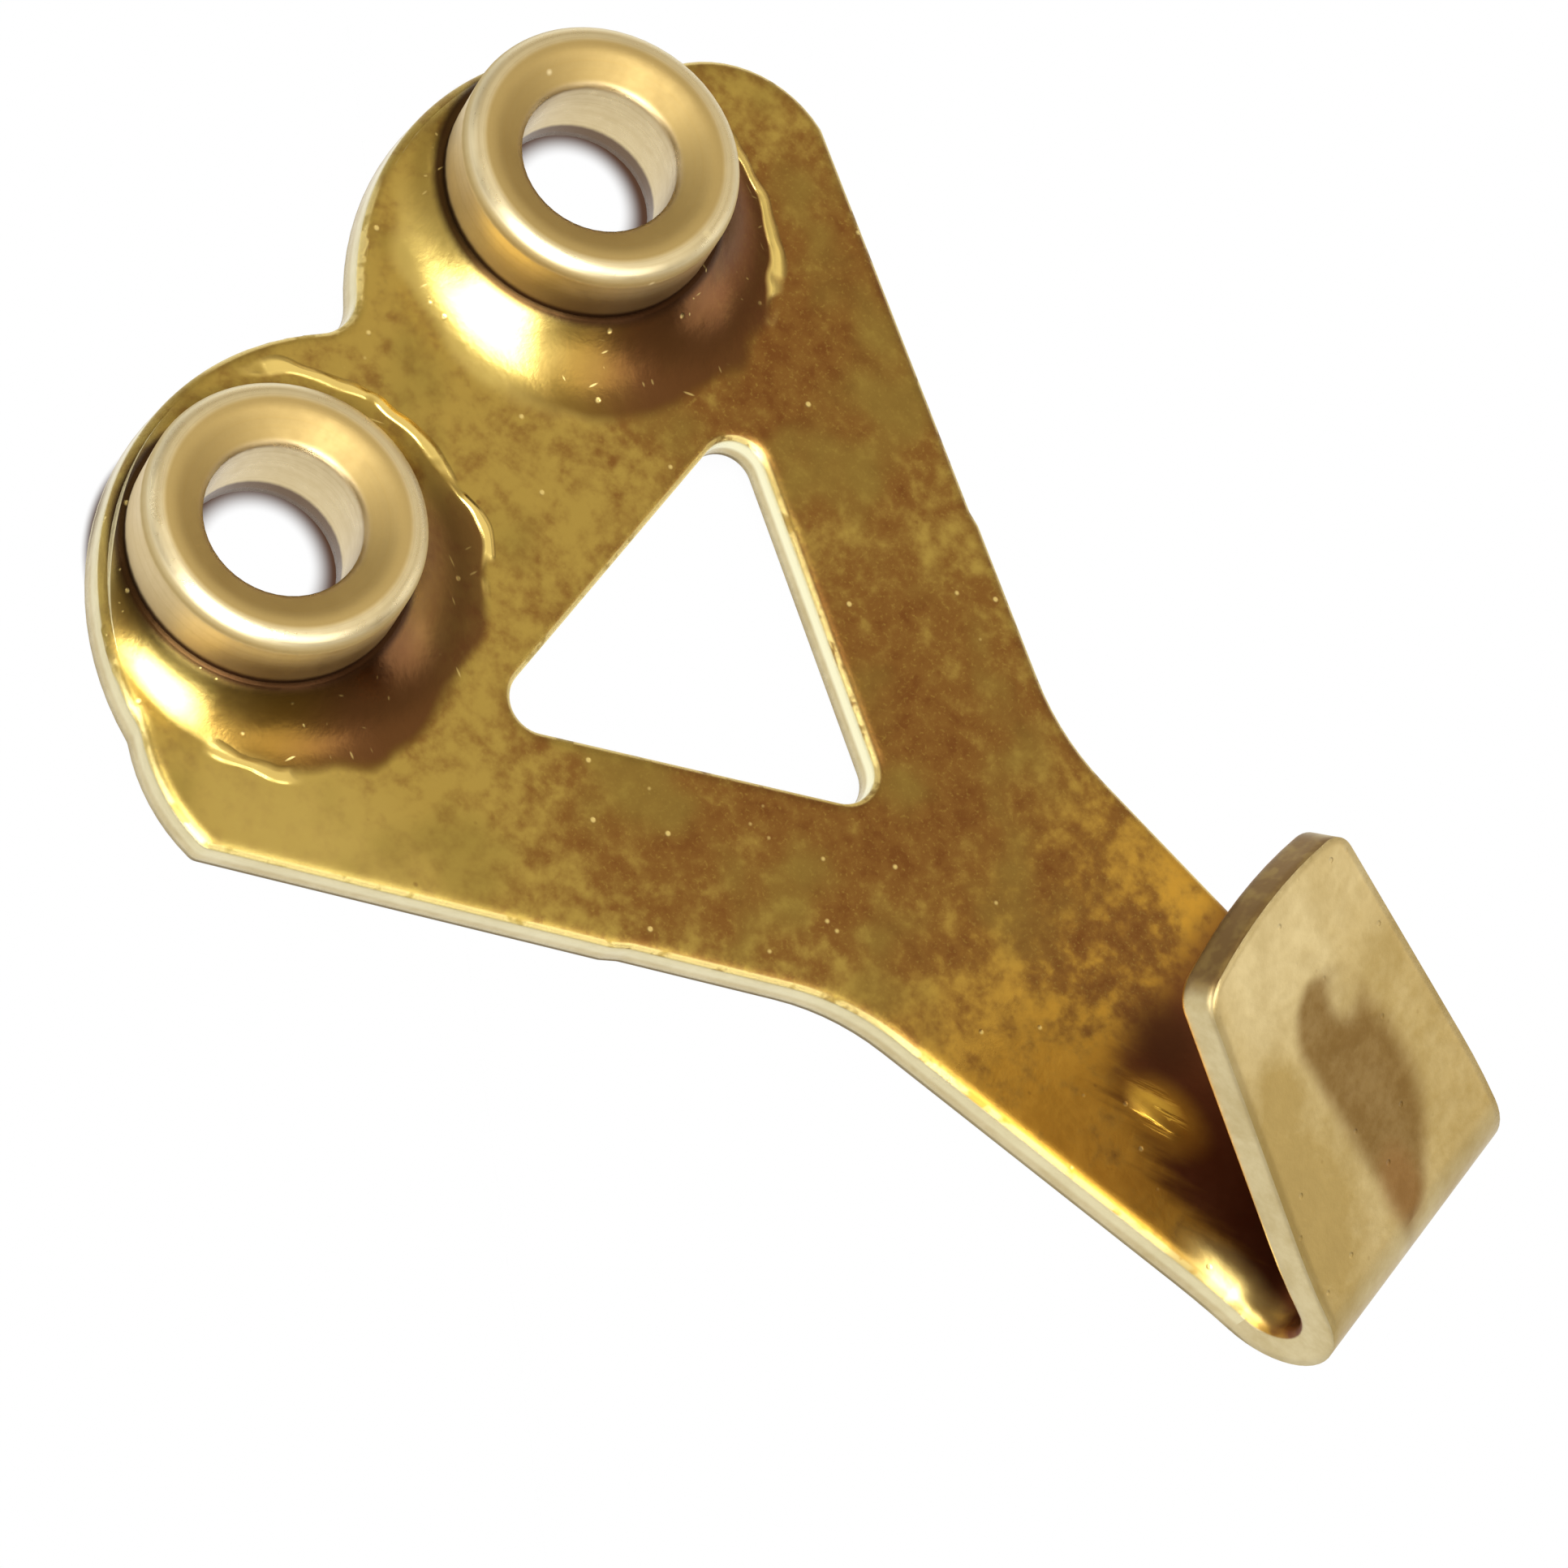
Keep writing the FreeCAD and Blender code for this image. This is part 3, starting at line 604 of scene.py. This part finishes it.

# %% [markdown]
# ## The throat of the hook
#
# A bright gold spot on the strip, on a small bump, is a painted highlight, and so is the bright patch on
# the edge beside the fold. Beyond a slanting line the strip lies in the shade of the lip, and that shade
# is painted dark, as are the inside of the fold, the lip's inner face and a corner by the lip. Each is a
# mask of its own, painted in the order shade first, highlights last.

# %% Throat and wear
THROAT_X, THROAT_Z, THROAT_LEAN = -1.5, -25.8, 0.34
STREAK_CELLS, STREAK_SLANT = (2.6, 2.6, 0.35), 0.3
STREAK_REACH = 2.6
GOLD_SPOT = (-1.3, -27.0, 0.36, 0.66, 0.8)
GOLD_SPOT_HALO = (-1.2, -27.3, 0.7, 1.1, 0.6)
EDGE_HIGHLIGHT, EDGE_HIGHLIGHT_Y = (-3.55, -31.2, 0.6, 1.3, 0.6), -1.6
DARK_CORNER = (0.5, -26.1, 1.0, 0.9, 0.7)
THROAT_SHADE = (0.16, 0.052, 0.025, 1)
SPOT_HIGHLIGHT_GOLD = (1.0, 0.66, 0.10, 1)

streaks = noise(stretch(place_mm, STREAK_CELLS, (0.0, STREAK_SLANT, 0.0)), 1.0, 3.0)
throat_line = minus(minus(px, THROAT_X), times(minus(pz, THROAT_Z), THROAT_LEAN))
throat_line = plus(throat_line, times(minus(streaks, 0.5), STREAK_REACH))
below = ramp(pz, THROAT_Z + 1.4, THROAT_Z - 0.4)
under_lip_shade = times(ramp(throat_line, 0.0, 0.8), below)
inner_bend = times(on_fold, ramp(fy, 0.9, 0.2))
gold_spot_highlight = times(soft_spot(*GOLD_SPOT), times(on_flat, ramp(streaks, 0.36, 0.5)))
edge_highlight = times(soft_spot(*EDGE_HIGHLIGHT), calc("GREATER_THAN", py, EDGE_HIGHLIGHT_Y))
# painted shade under the lip, in the fold, on the lip's inner face and in a corner, then painted
# highlights on the gold spot and by the fold
front_tone = paint(
    front_tone,
    (times(ramp(throat_line, -0.8, 0.3), below), 0.85, RED_BROWN),
    (most(under_lip_shade, inner_bend, times(on_lip, 0.35)), 0.9, THROAT_SHADE),
    (soft_spot(*GOLD_SPOT_HALO), 0.8, AMBER),
    (soft_spot(*DARK_CORNER), 0.55, CONTACT_SHADE),
    (gold_spot_highlight, 1.0, SPOT_HIGHLIGHT_GOLD),
    (edge_highlight, 1.0, HIGHLIGHT_GOLD),
)
print("throat line leans", THROAT_LEAN, "mm per mm")

# %% [markdown]
# ## A painted reflection on the lip
#
# A dark brown reflection is painted down the outside of the lip, with a straight left side, a bulging
# right side, a pale notch at the top and a darker tip at the bottom. It could be drawn as a picture, but
# in the lip's own coordinates each of those is one line of arithmetic, and noise makes the outline waver.

# %% Painted reflection on the lip
REFLECTION_TOP, REFLECTION_LEFT, REFLECTION_SLANT = 8.2, 0.45, 0.1
ARCH_FROM, ARCH_BEND = 6.6, 0.45
BULGE_MIDDLE, BULGE_HALF, BULGE_WIDTH = 4.0, 4.25, 2.3
NOTCH = (1.1, 6.9, 0.6, 0.75, 0.6)
REFLECTION_TIP = (0.1, 0.9, 0.7, 1.2, 0.5)

waver = times(minus(noise(place_mm, 0.5, 1.0), 0.5), 0.5)
over_arch = most(minus(lip_along, ARCH_FROM), 0.0)
from_left = plus(px, plus(REFLECTION_LEFT, times(lip_along, REFLECTION_SLANT)), waver)
from_left = minus(from_left, times(times(over_arch, over_arch), ARCH_BEND))
bulge = times(minus(lip_along, BULGE_MIDDLE), 1 / BULGE_HALF)
bulge = calc("SQRT", most(minus(1.0, times(bulge, bulge)), 0.0))
from_right = plus(minus(times(bulge, BULGE_WIDTH), px), waver)
# painted dark reflection on the outside of the lip
lip_reflection = times(ramp(from_left, -0.25, 0.45), ramp(from_right, -0.35, 0.7))
lip_reflection = times(lip_reflection, ramp(lip_along, REFLECTION_TOP + 0.3, REFLECTION_TOP - 0.5))
lip_reflection = times(lip_reflection, minus(1.0, times(soft_spot(*NOTCH, lip_along), 0.9)))
lip_reflection = times(lip_reflection, ramp(clouds["Cloud"], 0.0, 1.0, 0.86, 1.0))
reflection_tip = soft_spot(*REFLECTION_TIP, lip_along)
print("stain ends", REFLECTION_TOP, "mm along the lip")

# %% [markdown]
# ## The back of the sheet
#
# The lip turns the sheet's back to the viewer. It is paler than the front, because it lay against
# something and kept its shine. On the lip it dulls towards the sides and the fold; on the wall side broad
# brown clouds cover it, which is a guess, as the picture doesn't show it.

# %% Back tone
PALE = (0.63, 0.515, 0.265, 1)
TAN = (0.42, 0.30, 0.10, 1)
OLIVE_TAN = (0.20, 0.11, 0.022, 1)
LIP_SMUDGES = ((0.55, (-2.6, 3.2, 1.3, 2.6, 0.7)), (0.55, (-2.1, 6.6, 0.6, 0.9, 0.8)))
LIP_MIDDLE = -0.6
WALL_CLOUDS_PER_MM = 0.16

on_outside = ramp(lip_out, 0.8, 1.8)
off_middle = calc("ABSOLUTE", minus(px, LIP_MIDDLE))
smudges = [times(soft_spot(*spot, lip_along), share) for share, spot in LIP_SMUDGES]
lip_dull = plus(times(ramp(lip_along, 9.2, 6.0), 0.4), times(clouds["Cloud"], 0.25))
lip_dull = plus(lip_dull, times(ramp(off_middle, 1.4, 2.4), 0.3), *smudges)
wall_clouds = ramp(noise(place_mm, WALL_CLOUDS_PER_MM, 3.0), 0.35, 0.65)
wall_dull = plus(times(wall_clouds, 0.9), times(clouds["Cloud"], 0.4))
dulled = plus(wall_dull, times(on_outside, minus(lip_dull, wall_dull)))
dulled = plus(dulled, times(minus(clouds["Mottle"], 0.5), 0.5))
on_wall = minus(1.0, on_outside)
back_tone = paint(
    PALE,
    (dulled, 1.0, TAN),
    (times(ramp(dulled, 0.9, 1.4), on_wall), 0.7, BROWN),
    (times(marks, on_wall), 0.7, PALE),
    (times(specks, on_outside), 0.22, OLIVE_TAN),
    (times(lip_reflection, on_outside), 0.97, OLIVE_TAN),
    (times(reflection_tip, on_outside), 0.6, BROWN),
)
print("smudges on the lip:", len(LIP_SMUDGES))

# %% [markdown]
# ## Cut edges
#
# Shears and punches leave a pale, nearly clean edge, burnished where the tool went in first. That band is
# painted brighter than the metal, as a highlight, most of all in the window. Only the lip's end face is
# dark. The three tones are joined by the side on which a point lies.

# %% Edge tone
EDGE = (0.68, 0.57, 0.32, 1)
BURNISH_HIGHLIGHT = (1.0, 0.95, 0.62, 1)
END_FACE = (0.25, 0.155, 0.06, 1)
WINDOW = (0.0, -11.0, 6.6, 6.6, 0.05)
BURNISH_FROM, BURNISH_FULL = -0.38, -0.6
LIP_END, LIP_END_SOFT = 10.5, 0.2

# painted highlight on the burnished front band of the cut edge, strongest in the window
burnish_highlight = times(ramp(py, BURNISH_FROM, BURNISH_FULL), plus(0.35, times(soft_spot(*WINDOW), 0.6)))
end_tone = paint(END_FACE, (ramp(clouds["Mottle"], 0.42, 0.62), 0.45, TAN))
at_end = times(ramp(lip_along, LIP_END - LIP_END_SOFT, LIP_END + LIP_END_SOFT), on_lip)
edge_tone = paint(
    EDGE,
    (clouds["Cloud"], 0.5, TAN),
    (burnish_highlight, on_flat, BURNISH_HIGHLIGHT),
    (at_end, 1.0, end_tone),
)
tone = blend(front, blend(back, edge_tone, back_tone), front_tone)
print("the lip's end face starts", LIP_END, "mm along it")

# %% [markdown]
# ## The sheet put together
#
# Roughness follows the clouds, and the strip near the fold is duller. A little height, in millimetres,
# gives the marks their sparkle. The bevel node rounds what the shears left sharp, more finely than the
# solids do; real rounding on every edge would cost many more faces.

# %% Sheet brass
SHEET_GLOSS, CLOUD_GLOSS, STRIP_GLOSS = 0.2, 0.07, 0.14
STRIP_FROM, STRIP_FULL = -21.0, -25.0
GRAIN_RISE, CLOUD_RISE, PIT_DEPTH, CREASE_RISE, GOLD_SPOT_RISE = 0.0016, 0.004, 0.008, 0.05, 0.09
ROLL_SPOT, ROLL_OUTER, ROLL_INNER, ROLL_DEPTH = (-3.8, -31.3, 2.0, 1.2, 0.6), -4.4, -3.1, 0.28
SHEET_ROUNDING = 0.42 * MM


def finish(base, roughness, relief, rounding):
    """Brass shader from a tone, a roughness, a height in millimetres and a rounding of sharp edges."""
    rounded = node("ShaderNodeBevel", {"Radius": rounding}, samples=4).outputs[0]
    bump = node("ShaderNodeBump", {"Distance": MM, "Height": relief, "Normal": rounded}).outputs[0]
    surface = {"Base Color": base, "Metallic": 1.0, "Roughness": roughness, "Normal": bump}
    shader = node("ShaderNodeBsdfPrincipled", surface)
    tree.links.new(shader.outputs[0], output.inputs[0])


gloss = plus(SHEET_GLOSS, times(clouds["Cloud"], CLOUD_GLOSS))
gloss = plus(gloss, times(ramp(pz, STRIP_FROM, STRIP_FULL), STRIP_GLOSS))
relief = plus(times(clouds["Grain"], GRAIN_RISE), times(clouds["Cloud"], CLOUD_RISE))
relief = plus(relief, times(clouds["Mottle"], CLOUD_RISE))
relief = minus(relief, times(pits, PIT_DEPTH))
relief = plus(relief, times(crease, CREASE_RISE), times(gold_spot_highlight, GOLD_SPOT_RISE))
edge_roll = times(ramp(px, ROLL_OUTER, ROLL_INNER, -ROLL_DEPTH, 0.0), soft_spot(*ROLL_SPOT))
relief = plus(relief, times(times(edge_roll, on_flat), ramp(fz, 0.0, 0.8)))
finish(tone, gloss, relief, SHEET_ROUNDING)
print("sheet brass:", len(tree.nodes), "nodes")

# %% [markdown]
# ## Turned brass
#
# The bushings were cut on a lathe, so their pattern runs in rings: it depends only on how far a point is
# from the bushing's axis and how high it stands over the seat. Taking the distance from the nearer nail
# makes one material serve both.

# %% Bushing coordinates
LEAN = math.radians(7.0)
SEAT_Y = -1.96
BORE_RADIUS, MOUTH_LOW = 2.1, 1.65
WALL_FROM, WALL_FULL = 3.45, 3.65
RINGS_PER_MM = 7.0
TURNED_PATCH, TURNED_PIT_SPACING, TURNED_PIT_SHARE = 1.3, 1.0, 0.05

bushing_brass, tree, output = new_material("turned_brass")
place_mm = in_mm()
px, py, pz = parts(place_mm)
out_x = minus(px, times(calc("SIGN", px), NAIL_X))
out_y, out_z = minus(py, SEAT_Y), minus(pz, SEAT_Z)
axial = plus(times(out_y, -math.cos(LEAN)), times(out_z, math.sin(LEAN)))
radial = length(out_x, plus(times(out_y, math.sin(LEAN)), times(out_z, math.cos(LEAN))))
rings_at = node("ShaderNodeCombineXYZ", {0: radial, 1: axial}).outputs[0]
rings = noise(rings_at, RINGS_PER_MM, 3.0, 0.6)
clouds = placed(oxide_clouds, place=place_mm, patch=TURNED_PATCH)
pits = placed(bright_pits, place=place_mm, spacing=TURNED_PIT_SPACING, share=TURNED_PIT_SHARE)["Pit"]
in_bore = ramp(radial, BORE_RADIUS + 0.15, BORE_RADIUS + 0.02)
mouth = times(ramp(axial, MOUTH_LOW, MOUTH_LOW + 0.2), minus(1.0, in_bore))
wall = ramp(radial, WALL_FROM, WALL_FULL)
print("rings turn about", NAIL_X, "mm")

# %% [markdown]
# ## Tones of the bushings
#
# The mouth is worn to a duller tone, and a bright highlight is painted on the rim round it. The side of
# the collar that faces down, the collar's foot and the far end of the bore are painted dark, as shade.

# %% Bushing tone
CLEAN = (0.72, 0.58, 0.33, 1)
CLOUDED = (0.60, 0.46, 0.22, 1)
MOUTH = (0.43, 0.32, 0.128, 1)
CREST_HIGHLIGHT = (0.93, 0.84, 0.57, 1)
RING = (0.44, 0.31, 0.10, 1)
TURNED_PIT = (0.95, 0.85, 0.55, 1)
LOW_SIDE_SHADE = (0.20, 0.105, 0.035, 1)
CREST_RADIUS, CREST_OUTER, CREST_INNER = 3.45, 0.32, 0.096
CREST_FROM, CREST_FULL = 1.7, 1.9
LOW_TOP, LOW_FULL = 1.7, 0.6
FOOT_TOP, FOOT_FULL = 0.3, 0.08
BORE_DARK, BORE_SOFT = -0.45, 0.1

# painted highlight on the rim's crest; painted shade on the side facing down, at the collar's foot and at
# the far end of the bore
off_crest = calc("ABSOLUTE", minus(radial, CREST_RADIUS))
crest = times(ramp(off_crest, CREST_OUTER, CREST_INNER), ramp(axial, CREST_FROM, CREST_FULL))
low_side_shade = times(facing(out_x, out_z, SHADED_AT, -0.45, 0.35), ramp(axial, LOW_TOP, LOW_FULL))
bore_end_shade = times(in_bore, ramp(axial, BORE_DARK + BORE_SOFT, BORE_DARK - BORE_SOFT))
tone = paint(
    CLEAN,
    (clouds["Cloud"], 0.4, CLOUDED),
    (mouth, 1.0, MOUTH),
    (crest, 0.85, CREST_HIGHLIGHT),
    (ramp(rings, 0.45, 0.7), 0.2, RING),
    (pits, 1.0, TURNED_PIT),
    (times(wall, low_side_shade), 0.75, LOW_SIDE_SHADE),
    (times(wall, ramp(axial, FOOT_TOP, FOOT_FULL)), 0.95, CONTACT_SHADE),
    (bore_end_shade, 0.9, DUSK),
)
print("the rim is bright at", CREST_RADIUS, "mm from the axis")

# %% [markdown]
# ## Finish of the bushings
#
# The lathe's rings stand up by a few thousandths of a millimetre, which is enough to spread the light a
# little. The wall and the mouth are rougher than the rim, and the same shader as the sheet's puts it all
# together.

# %% Turned brass
TURNED_GLOSS, TURNED_CLOUD_GLOSS, WALL_GLOSS, MOUTH_GLOSS = 0.24, 0.1, 0.2, 0.34
RING_RISE, TURNED_GRAIN_RISE = 0.0035, 0.0012
TURNED_ROUNDING = 0.4 * MM

relief = plus(times(rings, RING_RISE), times(clouds["Grain"], TURNED_GRAIN_RISE))
gloss = plus(TURNED_GLOSS, times(clouds["Cloud"], TURNED_CLOUD_GLOSS))
gloss = plus(gloss, times(most(minus(wall, crest), 0.0), WALL_GLOSS))
gloss = plus(gloss, times(most(minus(mouth, crest), 0.0), MOUTH_GLOSS))
finish(tone, gloss, relief, TURNED_ROUNDING)
print("turned brass:", len(tree.nodes), "nodes")

# %% [markdown]
# ## Finishes onto the solids
#
# The solids are right as they are, so each keeps its mesh and only gets its finish: sheet brass for the
# plate and turned brass for the two bushings.

# %% Dress the solids
FINISHES = {
    "hook_plate": plate_brass,
    "nail_bushing_left": bushing_brass,
    "nail_bushing_right": bushing_brass,
}
for name, material in FINISHES.items():
    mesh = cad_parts[name].data
    mesh.materials.clear()
    mesh.materials.append(material)
    print(name, "gets", material.name)

# %% [markdown]
# ## The view transform
#
# The plain view transform keeps white paper white.

# %% Plain view transform
scene.view_settings.view_transform = "Standard"
